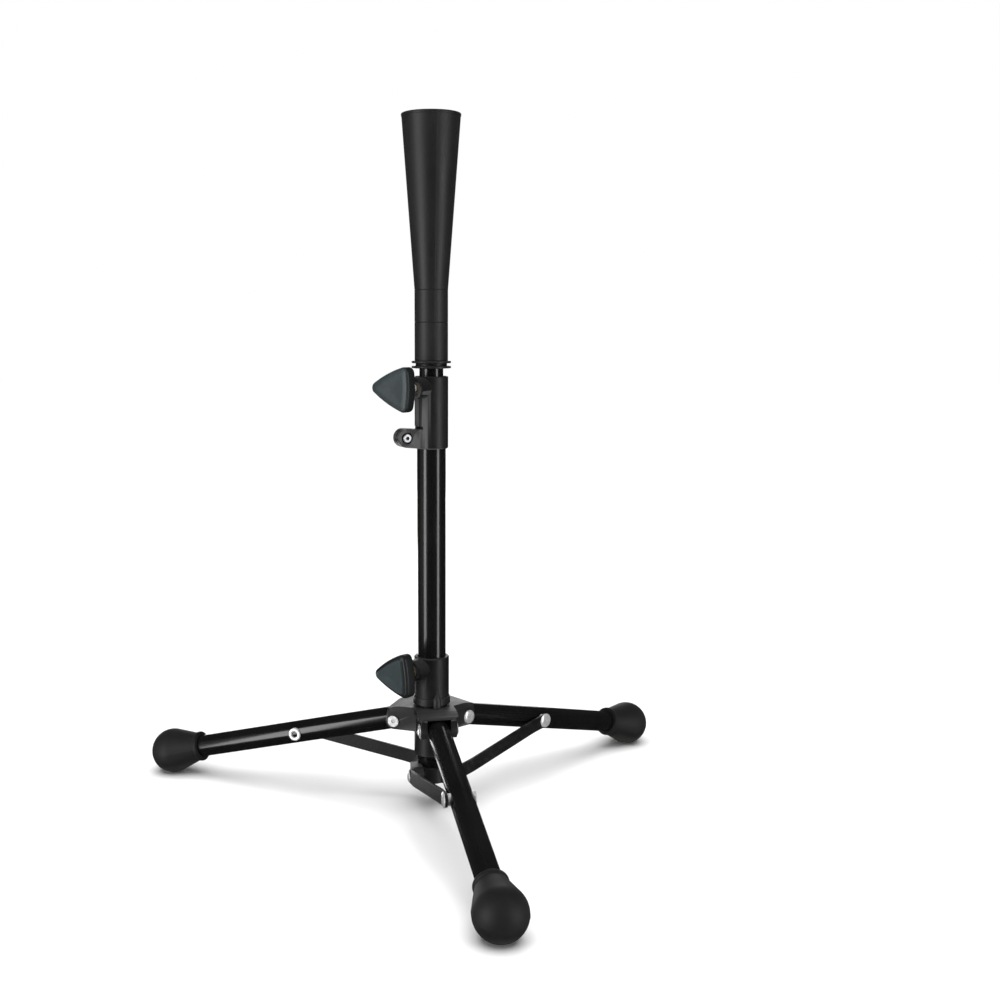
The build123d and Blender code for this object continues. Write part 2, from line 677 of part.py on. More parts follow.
# ---------------------------------------------------------------- lower strut collar
with BuildPart() as lower_strut_collar:
    with BuildSketch(Plane.XY.offset(lower_collar_bottom)):
        Circle(lower_collar_r)
    extrude(amount=lower_collar_top - lower_collar_bottom)
    chamfer(lower_strut_collar.edges(), collar_edge)
    for bearing in leg_bearings:
        with BuildSketch(side_plane(bearing, lug_back)):
            with Locations((strut_inner_reach, strut_inner_z)):
                Circle(lug_r)
            with Locations((strut_inner_reach / 2, strut_inner_z)):
                Rectangle(strut_inner_reach, 2 * lug_r)
        extrude(amount=lug_face - lug_back)
    with BuildSketch(Plane.XY.offset(lower_collar_bottom)):
        Circle(outer_r + fit_gap)
    extrude(amount=2 * lower_collar_top, mode=Mode.SUBTRACT)
    for bearing in leg_bearings:
        with BuildSketch(side_plane(bearing, lug_back, strut_inner_reach, strut_inner_z)):
            Circle(shank_r + fit_gap)
        extrude(amount=lug_face - lug_back, mode=Mode.SUBTRACT)
    fixing_z = (lower_collar_bottom + lower_collar_top) / 2
    with BuildSketch(facing_plane(180, 0, fixing_z)):
        Circle(fixing_screw_d / 2 + fit_gap)
    extrude(amount=2 * lower_collar_r, mode=Mode.SUBTRACT)
save(lower_strut_collar, "lower_strut_collar")

with BuildPart() as collar_fixing_screw:
    with BuildSketch(facing_plane(180, outer_r + fit_gap, fixing_z)):
        Circle(fixing_screw_d / 2)
    extrude(amount=lower_collar_r - outer_r)
save(collar_fixing_screw, "collar_fixing_screw")

with BuildPart() as strut_collar_rivets:
    strut_face_in = strut_inner_side + strut_thickness / 2
    for bearing in leg_bearings:
        with BuildSketch(side_plane(bearing, lug_back, strut_inner_reach, strut_inner_z)):
            Circle(shank_r)
        extrude(amount=strut_face_in + side_gap - lug_back)
        head_plane = side_plane(bearing, strut_face_in + side_gap, strut_inner_reach, strut_inner_z)
        dome(head_plane, collar_head_d, rivet_head_h)
save(strut_collar_rivets, "strut_collar_rivets")


# ---------------------------------------------------------------- legs and struts
def make_leg(name, bearing):
    """Leg tube with its inner insert, rubber foot and the leg's half of the strut rivet."""
    down_leg = leg_plane(bearing).x_dir
    pivot = leg_plane(bearing).origin
    leg_axis = Axis(pivot, down_leg)

    with BuildPart() as leg_tube:
        start = Plane(origin=pivot - down_leg * leg_stub, x_dir=leg_plane(bearing).z_dir, z_dir=down_leg)
        with BuildSketch(start):
            Circle(leg_r)
            Circle(leg_bore_r, mode=Mode.SUBTRACT)
        extrude(amount=leg_stub + leg_length - leg_tube_short)
        with BuildSketch(leg_plane(bearing, -leg_r)):
            Circle(shank_r + pin_gap)
            with Locations((strut_outer_along, 0)):
                Circle(shank_r + fit_gap)
        extrude(amount=2 * leg_r, mode=Mode.SUBTRACT)
    save(leg_tube, f"leg_tube_{name}")

    with BuildPart() as leg_insert:
        with BuildSketch(start):
            Circle(leg_bore_r - fit_gap)
        extrude(amount=leg_insert_length)
        with BuildSketch(leg_plane(bearing, -leg_r)):
            Circle(shank_r + pin_gap)
        extrude(amount=2 * leg_r, mode=Mode.SUBTRACT)
    save(leg_insert, f"leg_insert_{name}")

    with BuildPart() as foot_cap:
        neck_back = leg_length - foot_neck_back
        neck_start = math.hypot(foot_neck_back - foot_lip_length, foot_neck_r)
        neck_angle = math.atan2(foot_neck_r, -(foot_neck_back - foot_lip_length))
        touch_angle = neck_angle - math.acos(foot_ball_r / neck_start)
        with BuildSketch(leg_plane(bearing)):
            with BuildLine():
                lip_low = Line((neck_back, 0), (neck_back, foot_neck_r))
                lip_bulge = ThreePointArc(
                    lip_low @ 1,
                    (neck_back + foot_lip_length / 2, foot_neck_r + foot_lip),
                    (neck_back + foot_lip_length, foot_neck_r),
                )
                flare = Line(
                    lip_bulge @ 1,
                    (
                        leg_length + foot_ball_r * math.cos(touch_angle),
                        foot_ball_r * math.sin(touch_angle),
                    ),
                )
                ball = ThreePointArc(
                    flare @ 1,
                    (
                        leg_length + foot_ball_r * math.cos(touch_angle / 2),
                        foot_ball_r * math.sin(touch_angle / 2),
                    ),
                    (leg_length + foot_ball_r, 0),
                )
                Line(ball @ 1, lip_low @ 0)
            make_face()
        revolve(axis=leg_axis)
        with BuildSketch(start):
            Circle(leg_r + fit_gap)
        extrude(amount=leg_stub + leg_length - leg_tube_short + fit_gap, mode=Mode.SUBTRACT)
        split(bisect_by=Plane.XY, keep=Keep.TOP)
    save(foot_cap, f"foot_cap_{name}")

    with BuildPart() as spacer:
        with BuildSketch(leg_plane(bearing, leg_r / 2)) as spacer_ring:
            with Locations((strut_outer_along, 0)):
                Circle(spacer_d / 2)
                Circle(shank_r + fit_gap, mode=Mode.SUBTRACT)
        extrude(amount=strut_inner_face - side_gap - leg_r / 2)
        with BuildSketch(start):
            Circle(leg_r + fit_gap)
        extrude(amount=leg_length, mode=Mode.SUBTRACT)
    save(spacer, f"strut_spacer_{name}")

    with BuildPart() as rivet_shank:
        with BuildSketch(leg_plane(bearing, -leg_r - rivet_tail_h)):
            with Locations((strut_outer_along, 0)):
                Circle(strut_tail_d / 2)
        extrude(amount=rivet_tail_h + leg_tube_wall / 2)
        with BuildSketch(start):
            Circle(leg_r + fit_gap)
            Circle(leg_bore_r, mode=Mode.SUBTRACT)
        extrude(amount=leg_length, mode=Mode.SUBTRACT)
        with BuildSketch(leg_plane(bearing, -leg_r - rivet_tail_h)):
            with Locations((strut_outer_along, 0)):
                Circle(shank_r)
        extrude(amount=leg_r + rivet_tail_h + strut_inner_face - side_gap)
        with BuildSketch(leg_plane(bearing, -leg_r - rivet_tail_h)):
            with Locations((strut_outer_along, 0)):
                Circle(strut_tail_hole_d / 2)
        extrude(amount=strut_tail_hole_depth, mode=Mode.SUBTRACT)
    save(rivet_shank, f"strut_rivet_{name}")


def strut_plane(bearing, side=0.0):
    """Plane of one strut: x runs along it from its inner pivot, z is the leg's clockwise side."""
    return tilted(side_plane(bearing, side, strut_inner_reach, strut_inner_z), strut_angle)


def make_strut(name, bearing):
    """Flat strut, set over between two bends, and its half of the outer rivet."""
    flat = strut_plane(bearing)
    half_width = strut_width / 2

    with BuildPart() as strut:
        edge_plane = Plane(origin=flat.origin, x_dir=flat.x_dir, z_dir=-flat.y_dir)
        with BuildSketch(edge_plane):
            centre_line = (
                (-strut_width, strut_inner_side),
                (strut_bend_in, strut_inner_side),
                (strut_length - strut_bend_out, strut_outer_side),
                (strut_length + strut_width, strut_outer_side),
            )
            near = [(along, side - strut_thickness / 2) for along, side in centre_line]
            far = [(along, side + strut_thickness / 2) for along, side in centre_line]
            with BuildLine():
                Polyline(*near, *reversed(far), near[0])
            make_face()
        extrude(amount=half_width, both=True)
        with BuildSketch(flat):
            with Locations((strut_length / 2, 0)):
                SlotCenterToCenter(strut_length, strut_width)
            with Locations((0, 0), (strut_length, 0)):
                Circle(shank_r + pin_gap, mode=Mode.SUBTRACT)
        extrude(amount=2 * strut_inner_side, mode=Mode.INTERSECT)
    save(strut, f"strut_{name}")

    with BuildPart() as rivet_head:
        with BuildSketch(strut_plane(bearing, strut_inner_face)):
            with Locations((strut_length, 0)):
                Circle(shank_r)
        extrude(amount=strut_thickness)
        outer_face = strut_plane(bearing, strut_inner_face + strut_thickness)
        head_seat = outer_face.origin + outer_face.x_dir * strut_length
        head_plane = Plane(origin=head_seat, x_dir=outer_face.x_dir, z_dir=outer_face.z_dir)
        dome(head_plane, strut_head_d, rivet_head_h)
    save(rivet_head, f"strut_rivet_head_{name}")


for name, bearing in zip(leg_names, leg_bearings):
    make_leg(name, bearing)
    make_strut(name, bearing)
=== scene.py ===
"""Looks of the folding batting tee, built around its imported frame.

Scene units are metres, +Z up, with the front leg along -Y. Outlines are written in millimetres and
made into metres where a mesh is finished. Places come from the frame's boxes, joints and mounts.
"""
import json
import math

import bmesh
import bpy
from mathutils import Matrix, Vector


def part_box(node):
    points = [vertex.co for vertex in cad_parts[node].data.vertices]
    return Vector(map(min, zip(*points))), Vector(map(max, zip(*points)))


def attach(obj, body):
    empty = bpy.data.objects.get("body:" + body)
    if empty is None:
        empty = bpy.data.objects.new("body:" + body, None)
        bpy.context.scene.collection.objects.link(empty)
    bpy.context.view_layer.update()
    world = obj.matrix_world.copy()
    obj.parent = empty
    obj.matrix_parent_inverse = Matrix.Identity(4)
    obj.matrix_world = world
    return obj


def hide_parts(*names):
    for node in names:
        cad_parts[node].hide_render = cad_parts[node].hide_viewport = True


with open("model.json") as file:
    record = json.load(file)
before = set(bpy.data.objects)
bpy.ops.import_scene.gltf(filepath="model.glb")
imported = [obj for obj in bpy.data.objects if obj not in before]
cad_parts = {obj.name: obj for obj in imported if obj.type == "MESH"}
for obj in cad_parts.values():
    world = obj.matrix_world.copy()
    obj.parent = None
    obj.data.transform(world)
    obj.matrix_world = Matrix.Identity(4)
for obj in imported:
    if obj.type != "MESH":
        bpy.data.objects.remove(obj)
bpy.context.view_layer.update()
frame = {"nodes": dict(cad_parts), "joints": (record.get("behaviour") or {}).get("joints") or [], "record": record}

unit = 0.001
leg_names = ("front", "left", "right")
joints = {joint["name"]: joint for joint in frame["joints"]}
mounts = {mount["name"]: mount for mount in frame["record"]["mounts"]}

# ---------------------------------------------------------------- sizes, in millimetres
tube_wall = 1.2
tube_edge = 0.35
fit_gap = 0.05
topper_tube_r = 14.6
topper_tube_length = 61.4
topper_wall = 3.2
topper_seam_rise = 33.5
topper_seam_depth = 0.35
topper_flash = 0.12       # mould line down each side
topper_band = 2.6
topper_band_out = 0.3
topper_lip = 1.1
adapter_disc = 1.9
adapter_groove_r = 13.75
leg_tube_r = 10.25
leg_tube_short = 4.0
foot_flattening = 0.4
foot_neck_r = 13.1
foot_neck_back = 33.0
foot_lip_out = 1.0
foot_lip_length = 3.0
foot_flash = 0.22
foot_dust_rise = 11.0     # dust fades out this far above the floor
leg_stub = 6.0
knob_apex_reach = 24.2
knob_back_reach = 15.2
knob_height = 38.4
knob_corner = 5.4
knob_bulge = 1.2
knob_thickness = 11.0
knob_neck_r = 7.5
knob_neck_length = 5.0
knob_neck_flare = 3.5
knob_edge = 2.8
knob_back_edge = ((2.4, 0.0), (1.2, 0.12), (0.5, 0.5), (0.12, 1.2), (0.0, 2.2))  # inset, height
knob_dish = 0.6
knob_shade_start = 0.5     # painted shade on the sides starts this far below the face
knob_screw_r = 3.9
knob_screw_tip = 0.8      # taken off the radius at the tip
knob_screw_lead_in = 1.2
knob_turns = {"upper": -2.0, "lower": 6.0}
thread_pitch = 1.25
thread_depth = 0.55
strut_rivet_along = 104.9
strut_rivet_shank_r = 3.0
strut_rivet_tail_r = 6.0
strut_rivet_tail_out = 1.5
strut_rivet_bore_r = 2.75
strut_rivet_bore_depth = 2.6
strut_rivet_sink = 0.3    # tail's rim below the crest of the tube
strut_rivet_pip_r = 1.2
strut_rivet_pip_rise = 0.45

# ---------------------------------------------------------------- mesh steps
sharp_angle = 40
bevel_angle = 32
bevel_segments = 3
knob_arc_steps = 20
knob_fillet_steps = 8
knob_face_steps = 8
foot_ball_steps = 40
topper_step = 6.0         # longest stretch of its outline, in millimetres
thread_steps = 8          # to one pitch


def box_mm(node):
    """Lowest and highest corner of a CAD node, in millimetres."""
    low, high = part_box(node)
    return low / unit, high / unit


# ---------------------------------------------------------------- materials
class Finish:
    """A Principled material put together from procedural texture nodes in object space."""

    def __init__(self, name, metallic=0.0, specular=0.5, coat=0.0, coat_roughness=0.1, sheen=0.0):
        self.material = bpy.data.materials.new(name)
        self.material.use_nodes = True
        self.tree = self.material.node_tree
        self.surface = next(n for n in self.tree.nodes if n.type == "BSDF_PRINCIPLED")
        self.surface.inputs["Metallic"].default_value = metallic
        self.surface.inputs["Specular IOR Level"].default_value = specular
        self.surface.inputs["Coat Weight"].default_value = coat
        self.surface.inputs["Coat Roughness"].default_value = coat_roughness
        self.surface.inputs["Sheen Weight"].default_value = sheen
        self.place = self.tree.nodes.new("ShaderNodeTexCoord").outputs["Object"]
        self.normal = None

    def add(self, kind, inputs=None, **settings):
        """New node with its settings, and with each input linked or set."""
        node = self.tree.nodes.new(kind)
        for key, value in settings.items():
            setattr(node, key, value)
        for key, value in (inputs or {}).items():
            if isinstance(value, bpy.types.NodeSocket):
                self.tree.links.new(value, node.inputs[key])
            else:
                node.inputs[key].default_value = value
        return node

    def noise(self, scale, detail=3.0, roughness=0.55, stretch=(1.0, 1.0, 1.0)):
        """Noise whose scale is in cycles per metre, squeezed along each axis by stretch."""
        mapping = self.add("ShaderNodeMapping", {"Vector": self.place, "Scale": stretch})
        inputs = {"Vector": mapping.outputs[0], "Scale": scale, "Detail": detail, "Roughness": roughness}
        return self.add("ShaderNodeTexNoise", inputs).outputs["Fac"]

    def cells(self, scale):
        """Distance to the middle of the nearest cell."""
        return self.add("ShaderNodeTexVoronoi", {"Vector": self.place, "Scale": scale}).outputs["Distance"]

    def ramp(self, factor, *stops):
        """Colour ramp through (position, grey or colour) stops."""
        node = self.add("ShaderNodeValToRGB", {"Fac": factor})
        elements = node.color_ramp.elements
        while len(elements) < len(stops):
            elements.new(0.5)
        for element, (position, value) in zip(elements, stops):
            element.position = position
            colour = value if isinstance(value, tuple) else (value, value, value)
            element.color = (*colour, 1.0)
        return node.outputs["Color"]

    def mix(self, factor, first, second, blend="MIX"):
        """Blend of two colours, each a socket or an RGB tuple."""
        node = self.add("ShaderNodeMix", data_type="RGBA", blend_type=blend)
        for key, value in (("Factor", factor), ("A", first), ("B", second)):
            socket = next(s for s in node.inputs if s.name == key and s.enabled)
            if isinstance(value, bpy.types.NodeSocket):
                self.tree.links.new(value, socket)
            elif isinstance(value, tuple):
                socket.default_value = (*value, 1.0)
            else:
                socket.default_value = value
        return next(s for s in node.outputs if s.enabled)

    def bump(self, height, distance, strength=1.0):
        """One more layer of relief, its height in metres."""
        inputs = {"Height": height, "Distance": distance, "Strength": strength}
        if self.normal is not None:
            inputs["Normal"] = self.normal
        self.normal = self.add("ShaderNodeBump", inputs).outputs["Normal"]

    def worn_edges(self, start, end):
        """Mask of the outer edges, where the surface is most convex."""
        sharpness = self.add("ShaderNodeNewGeometry").outputs["Pointiness"]
        return self.ramp(sharpness, (start, 0.0), (end, 1.0))

    def facing_up(self, start, end):
        """Mask of the surfaces that face the sky, where dust settles and light falls."""
        normal = self.add("ShaderNodeNewGeometry").outputs["Normal"]
        height = self.add("ShaderNodeSeparateXYZ", {"Vector": normal}).outputs["Z"]
        return self.ramp(height, (start, 0.0), (end, 1.0))

    def hollow_shade(self, reach, start, end):
        """Mask of sunken places, for painted shade, within a reach in metres."""
        open_sky = self.add("ShaderNodeAmbientOcclusion", {"Distance": reach}, samples=8).outputs["AO"]
        return self.ramp(open_sky, (start, 1.0), (end, 0.0))

    def finish(self, colour, roughness):
        """The material, with its colour, roughness and relief linked to its surface."""
        self.tree.links.new(colour, self.surface.inputs["Base Color"])
        self.tree.links.new(roughness, self.surface.inputs["Roughness"])
        if self.normal is not None:
            self.tree.links.new(self.normal, self.surface.inputs["Normal"])
        return self.material


def gloss_enamel():
    """Baked black enamel on steel tube, with orange peel and faint sliding scuffs."""
    f = Finish("gloss_black_tube", specular=0.5, coat=0.35, coat_roughness=0.12)
    patches = f.noise(14, 4)
    scuffs = f.noise(160, 6, 0.75, stretch=(1.0, 1.0, 0.04))
    specks = f.cells(900)
    colour = f.ramp(patches, (0.3, (0.0028, 0.0028, 0.003)), (0.7, (0.0058, 0.0058, 0.006)))
    dust = f.ramp(specks, (0.02, 0.12), (0.06, 0.0))
    colour = f.mix(dust, colour, (0.06, 0.059, 0.056))
    roughness = f.ramp(patches, (0.25, 0.17), (0.75, 0.25))
    scuff_mask = f.ramp(scuffs, (0.56, 0.0), (0.72, 1.0))
    roughness = f.mix(scuff_mask, roughness, (0.36, 0.36, 0.36))
    f.bump(f.noise(420, 2, 0.4), 0.00004, 0.35)
    f.bump(scuffs, 0.00003, 0.25)
    return f.finish(colour, roughness)


def moulded(name, dark, light, rough_low, rough_high, grain=1900, edge_wear_and_highlight=0.03, dusty=0.5, side=None):
    """Moulded thermoplastic: spark-eroded grain, flow marks, edges lightened by rubbing and by a painted
    highlight, and upper faces lightened by dust and by painted light from above.
    """
    f = Finish(name, specular=0.5)
    flow = f.noise(55, 5, 0.6)
    fine = f.noise(grain, 3, 0.6)
    scratches = f.noise(340, 5, 0.8, stretch=(1.0, 0.35, 0.06))
    colour = f.ramp(flow, (0.3, dark), (0.7, light))
    speckle = f.ramp(fine, (0.35, 0.86), (0.65, 1.12))
    colour = f.mix(1.0, colour, speckle, "MULTIPLY")
    # Upper faces are lightened: partly settled dust, partly painted light from above.
    dust_and_top_light = f.ramp(flow, (0.3, 0.55 * dusty), (0.7, dusty))
    dust = f.mix(1.0, f.facing_up(0.2, 0.95), dust_and_top_light, "MULTIPLY")
    colour = f.mix(dust, colour, tuple(channel + 0.035 for channel in light))
    # Lighter edges: partly rubbed wear, partly a painted highlight along the edges.
    rubbed = tuple(channel + edge_wear_and_highlight for channel in light)
    colour = f.mix(f.worn_edges(0.515, 0.6), colour, rubbed)
    # Painted shade: where a 'side' attribute is given, the sides are darkened towards the side colour as if in
    # shade.
    if side:
        painted_side_shade = f.add("ShaderNodeAttribute", attribute_name="side").outputs["Fac"]
        colour = f.mix(painted_side_shade, colour, side)
    roughness = f.ramp(flow, (0.3, rough_low), (0.7, rough_high))
    roughness = f.mix(f.ramp(scratches, (0.6, 0.0), (0.72, 0.7)), roughness, (0.3, 0.3, 0.3))
    f.bump(fine, 0.00006, 0.8)
    f.bump(flow, 0.0002, 0.12)
    return f.finish(colour, roughness)


def topper_rubber():
    """Matt moulded rubber with flow lines down its length and a faint grey bloom."""
    f = Finish("topper_rubber", specular=0.62, sheen=0.03)
    streaks = f.noise(95, 6, 0.6, stretch=(1.0, 1.0, 0.05))
    bloom = f.noise(20, 5, 0.65)
    grain = f.noise(1500, 3, 0.6)
    colour = f.ramp(bloom, (0.3, (0.0045, 0.0045, 0.0047)), (0.75, (0.009, 0.009, 0.0092)))
    colour = f.mix(f.ramp(streaks, (0.5, 0.0), (0.8, 0.5)), colour, (0.0125, 0.0125, 0.0127))
    colour = f.mix(f.worn_edges(0.54, 0.7), colour, (0.03, 0.03, 0.03))
    roughness = f.ramp(bloom, (0.3, 0.44), (0.7, 0.52))
    roughness = f.mix(f.ramp(streaks, (0.45, 0.0), (0.8, 0.6)), roughness, (0.58, 0.58, 0.58))
    f.bump(grain, 0.00008, 0.7)
    f.bump(streaks, 0.0002, 0.1)
    return f.finish(colour, roughness)


def foot_rubber():
    """Matt rubber with a coarse skin, scuffed and dusty towards the floor."""
    f = Finish("foot_rubber", specular=0.5, sheen=0.03)
    skin = f.noise(700, 4, 0.65)
    patches = f.noise(45, 5, 0.7)
    ground = f.add("ShaderNodeAttribute", attribute_name="ground").outputs["Fac"]
    dusty = f.mix(1.0, f.ramp(patches, (0.35, 0.25), (0.65, 1.0)), ground, "MULTIPLY")
    colour = f.ramp(patches, (0.3, (0.0045, 0.0045, 0.0046)), (0.7, (0.008, 0.008, 0.0082)))
    colour = f.mix(f.worn_edges(0.54, 0.7), colour, (0.026, 0.026, 0.026))
    colour = f.mix(dusty, colour, (0.085, 0.08, 0.072))
    roughness = f.ramp(patches, (0.3, 0.55), (0.7, 0.66))
    roughness = f.mix(dusty, roughness, (0.85, 0.85, 0.85))
    f.bump(skin, 0.00012, 0.7)
    f.bump(patches, 0.0005, 0.1)
    return f.finish(colour, roughness)


def painted_steel():
    """Satin black paint on flat bar, rubbed through to grey along its edges."""
    f = Finish("painted_flat_steel", specular=0.5)
    peel = f.noise(600, 3, 0.5)
    patches = f.noise(70, 5, 0.7)
    colour = f.ramp(patches, (0.3, (0.0035, 0.0035, 0.0037)), (0.7, (0.0065, 0.0065, 0.0067)))
    flakes = f.ramp(f.noise(260, 5, 0.8), (0.5, 0.0), (0.62, 1.0))
    chips = f.mix(1.0, f.worn_edges(0.52, 0.6), flakes, "MULTIPLY")
    colour = f.mix(chips, colour, (0.16, 0.16, 0.165))
    roughness = f.ramp(patches, (0.3, 0.3), (0.7, 0.42))
    f.bump(peel, 0.00006, 0.5)
    return f.finish(colour, roughness)


def bright_metal(name, colour_dark, colour_light, rough_low, rough_high):
    """Plated or turned metal with fine tool marks, a little tarnish and painted shade in its hollows."""
    f = Finish(name, metallic=0.6)
    tarnish = f.noise(380, 5, 0.7)
    marks = f.noise(2600, 3, 0.6, stretch=(1.0, 1.0, 0.15))
    colour = f.ramp(tarnish, (0.3, colour_dark), (0.62, colour_light))
    # Painted shade: hollows such as a rivet's bore are darkened almost to black.
    colour = f.mix(f.hollow_shade(0.0025, 0.45, 0.85), colour, (0.02, 0.019, 0.018))
    roughness = f.ramp(marks, (0.3, rough_low), (0.7, rough_high))
    f.bump(marks, 0.00003, 0.5)
    f.bump(tarnish, 0.0001, 0.15)
    return f.finish(colour, roughness)


materials = {
    "gloss_black_tube": gloss_enamel(),
    "plug_plastic": moulded(
        "plug_plastic", (0.008, 0.008, 0.0085), (0.013, 0.013, 0.0135), 0.42, 0.55,
    ),
    # black_nylon's edges are lightened more, as a painted highlight along the hub's and collars' edges.
    "black_nylon": moulded(
        "black_nylon", (0.0055, 0.0055, 0.0058), (0.0095, 0.0095, 0.0099), 0.4, 0.5, edge_wear_and_highlight=0.06,
    ),
    "bearing_plastic": moulded(
        "bearing_plastic", (0.55, 0.54, 0.5), (0.66, 0.65, 0.61), 0.3, 0.42,
    ),
    # knob_plastic's side colour is painted shade on the knob's sides and back.
    "knob_plastic": moulded(
        "knob_plastic", (0.025, 0.036, 0.039), (0.034, 0.047, 0.05), 0.36, 0.46,
        grain=1500, dusty=0.3, side=(0.0075, 0.0088, 0.0095),
    ),
    "zinc_screw": bright_metal("zinc_screw", (0.55, 0.56, 0.58), (0.78, 0.79, 0.81), 0.18, 0.34),
    "nickel_rivet": bright_metal("nickel_rivet", (0.6, 0.6, 0.6), (0.86, 0.86, 0.87), 0.14, 0.3),
    "brass_insert": bright_metal("brass_insert", (0.12, 0.088, 0.04), (0.3, 0.22, 0.1), 0.3, 0.45),
    "painted_flat_steel": painted_steel(),
    "topper_rubber": topper_rubber(),
    "foot_rubber": foot_rubber(),
}


# ---------------------------------------------------------------- mesh building
def rounded(corners, closed=True, steps=5):
    """Outline through (x, y, radius) corners, with each corner turned into an arc of that radius."""
    points = []
    for index, (x, y, radius) in enumerate(corners):
        here = Vector((x, y))
        at_end = not closed and index in (0, len(corners) - 1)
        if radius == 0 or at_end:
            points.append(here)
            continue
        back = Vector(corners[index - 1][:2]) - here
        ahead = Vector(corners[(index + 1) % len(corners)][:2]) - here
        half = back.angle(ahead) / 2
        reach = min(radius / math.tan(half), 0.45 * back.length, 0.45 * ahead.length)
        start = here + back.normalized() * reach
        centre = here + (back.normalized() + ahead.normalized()).normalized() * (reach / math.cos(half))
        spoke = start - centre
        sweep = math.pi - 2 * half
        turn = -sweep if back.cross(ahead) > 0 else sweep
        for step in range(steps + 1):
            angle = turn * step / steps
            cosine, sine = math.cos(angle), math.sin(angle)
            spun = Vector((spoke.x * cosine - spoke.y * sine, spoke.x * sine + spoke.y * cosine))
            points.append(centre + spun)
    return points


def bridge(work, rings):
    """Joins each ring of vertices to the next one with a band of faces."""
    for low, high in zip(rings, rings[1:]):
        for step in range(len(low)):
            after = (step + 1) % len(low)
            work.faces.new((low[step], low[after], high[after], high[step]))


def fan(work, ring, tip):
    """Closes a ring of vertices with faces that meet in one vertex."""
    for step in range(len(ring)):
        work.faces.new((ring[step], ring[(step + 1) % len(ring)], tip))


def turned(work, outline, turns=96, shape=None):
    """Adds the solid that an outline of (radius, height) points sweeps round z."""
    rings = []
    for radius, height in outline:
        if radius < 1e-6:
            rings.append([work.verts.new((0, 0, height))])
            continue
        ring = []
        for step in range(turns):
            angle = 2 * math.pi * step / turns
            out = shape(radius, height, angle) if shape else radius
            ring.append(work.verts.new((out * math.cos(angle), out * math.sin(angle), height)))
        rings.append(ring)
    for low, high in zip(rings, rings[1:] + rings[:1]):
        for step in range(turns):
            corners = (
                low[step % len(low)],
                low[(step + 1) % len(low)],
                high[(step + 1) % len(high)],
                high[step % len(high)],
            )
            corners = list(dict.fromkeys(corners))
            if len(corners) > 2:
                work.faces.new(corners)


def new_piece(name, work, place=Matrix()):
    """Object from a bmesh drawn in millimetres, shaded smooth except at sharp edges."""
    bmesh.ops.scale(work, vec=(unit, unit, unit), verts=work.verts)
    bmesh.ops.recalc_face_normals(work, faces=work.faces)
    mesh = bpy.data.meshes.new(name)
    work.to_mesh(mesh)
    work.free()
    mesh.shade_smooth()
    mesh.set_sharp_from_angle(angle=math.radians(sharp_angle))
    piece = bpy.data.objects.new(name, mesh)
    bpy.context.scene.collection.objects.link(piece)
    piece.matrix_world = place
    return piece


def lathe(name, outline, place=Matrix(), turns=96, shape=None):
    """Object turned from an outline in millimetres."""
    work = bmesh.new()
    turned(work, outline, turns=turns, shape=shape)
    return new_piece(name, work, place)


def softened(node, edge):
    """Copy of a CAD node whose sharp edges are rounded off, as moulding or tumbling leaves them."""
    work = bmesh.new()
    work.from_mesh(frame["nodes"][node].data)
    bmesh.ops.remove_doubles(work, verts=work.verts, dist=0.002 * unit)
    bmesh.ops.dissolve_limit(work, angle_limit=math.radians(0.8), verts=work.verts, edges=work.edges)
    mesh = bpy.data.meshes.new(f"{node}_soft")
    work.to_mesh(mesh)
    work.free()
    if "custom_normal" in mesh.attributes:
        mesh.attributes.remove(mesh.attributes["custom_normal"])
    mesh.shade_smooth()
    mesh.set_sharp_from_angle(angle=math.radians(30))
    piece = bpy.data.objects.new(f"{node}_soft", mesh)
    bpy.context.scene.collection.objects.link(piece)
    bevel = piece.modifiers.new("rounding", "BEVEL")
    bevel.width = edge * unit
    bevel.segments = bevel_segments
    bevel.limit_method = "ANGLE"
    bevel.angle_limit = math.radians(bevel_angle)
    bevel.use_clamp_overlap = True
    bevel.harden_normals = True
    bpy.context.view_layer.update()
    evaluated = piece.evaluated_get(bpy.context.evaluated_depsgraph_get())
    applied = bpy.data.meshes.new_from_object(evaluated)
    piece.modifiers.clear()
    piece.data = applied
    return piece


slot_of = {part["node"]: part["material_slot"] for part in frame["record"]["subparts"]}
bodies = frame["record"]["behaviour"]["bodies"]
body_of = {node: body for body, nodes in bodies.items() for node in nodes}


def dress(piece, node):
    """Gives a piece its node's finish and body, and hides the node it stands for."""
    piece.name = f"{node}_detail"
    slot = slot_of[node]
    piece.data.materials.clear()
    piece.data.materials.append(materials[slot])
    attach(piece, body_of[node])
    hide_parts(node)


# ---------------------------------------------------------------- tubes
def tube_outline(radius, low, high):
    """Section of a tube's wall with rounded ends."""
    bore = radius - tube_wall
    return rounded([
        (bore, low, tube_edge),
        (radius, low, tube_edge),
        (radius, high, tube_edge),
        (bore, high, tube_edge),
    ])


def upright_tube(node):
    """Tube of the post, as wide and as long as its CAD node."""
    low, high = box_mm(node)
    outline = tube_outline((high.x - low.x) / 2, low.z, high.z)
    dress(lathe(f"{node}_lathe", outline, turns=128), node)


def leg_place(name):
    """Frame of a leg, z down it from its pivot and x along the pivot. Also its length and ball radius."""
    pivot = Vector(joints[f"leg_{name}_fold"]["pos_m"])
    side = -Vector(joints[f"leg_{name}_fold"]["axis"]).normalized()
    ball_low, ball_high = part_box("foot_cap_front")
    ball_r = (ball_high.x - ball_low.x) / 2
    stand = Vector(mounts[f"foot_{name}"]["pos_m"])
    ball = Vector((stand.x, stand.y, ball_r - foot_flattening * unit))
    down = (ball - pivot).normalized()
    place = Matrix((side, down.cross(side), down)).transposed().to_4x4()
    place.translation = pivot
    return place, (ball - pivot).length / unit, ball_r / unit


def leg_tube(name):
    """Leg from its hinge's stub to its end inside the foot."""
    place, length, _ = leg_place(name)
    outline = tube_outline(leg_tube_r, -leg_stub, length - leg_tube_short)
    dress(lathe(f"leg_{name}_lathe", outline, place), f"leg_tube_{name}")


